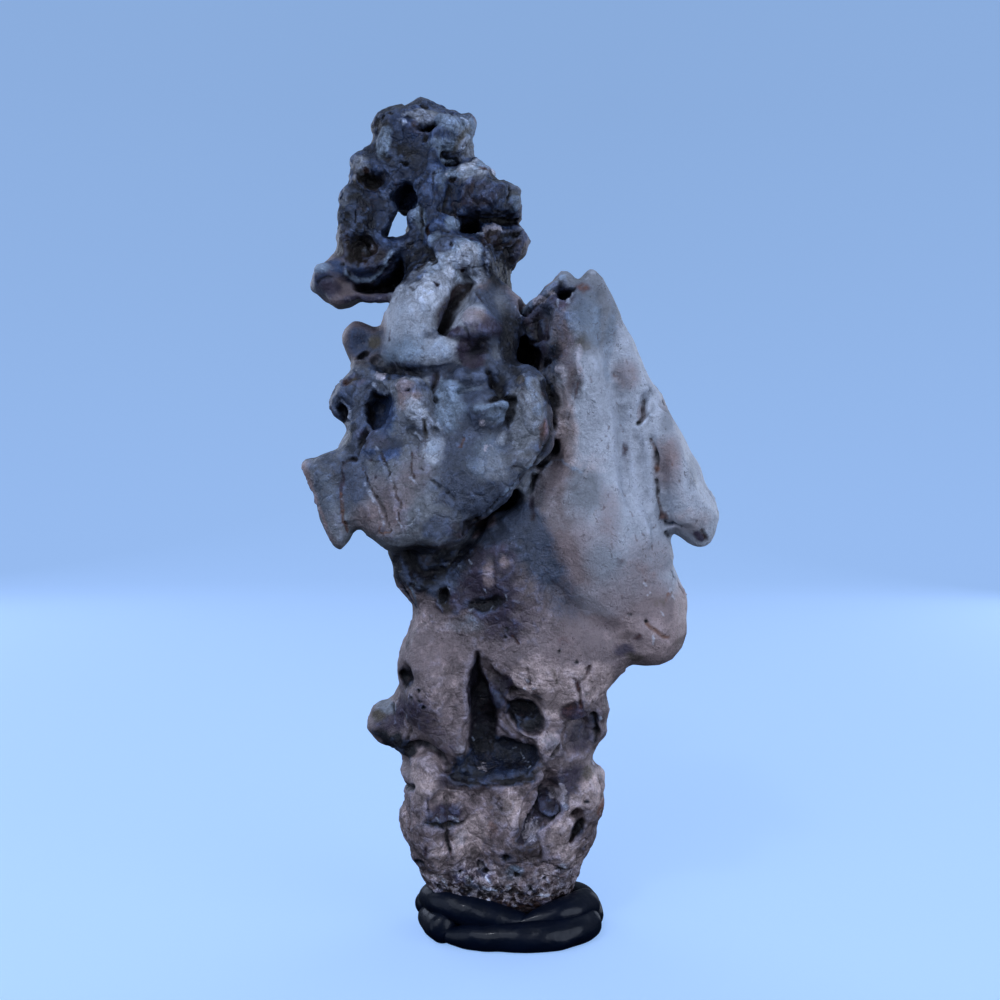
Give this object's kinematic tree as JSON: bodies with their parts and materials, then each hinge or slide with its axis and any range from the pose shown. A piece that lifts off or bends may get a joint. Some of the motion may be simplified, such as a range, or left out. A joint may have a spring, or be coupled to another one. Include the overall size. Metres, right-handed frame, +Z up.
{
  "type": "decorative stone",
  "caption": "Pale and blue-grey quartz display stone with a pierced crown and a wing-like slab, standing in a foot of rolled black putty.",
  "frame": {"origin": "on the table top, under the middle of the object's bounding box", "axes": "+Z up, +X to the right as seen from the front, +Y to the back"},
  "size_m": [0.0738, 0.0444, 0.1554],
  "materials": {
    "stone": "waxy polish, glossy in places",
    "putty": "satin"
  },
  "bodies": {
    "root": {"stone": "stone", "putty_front_roll": "putty", "putty_left_knob": "putty", "putty_right_roll": "putty", "putty_left_roll": "putty", "putty_back_left_roll": "putty", "putty_back_right_roll": "putty", "putty_pad": "putty"}
  },
  "joints": []
}
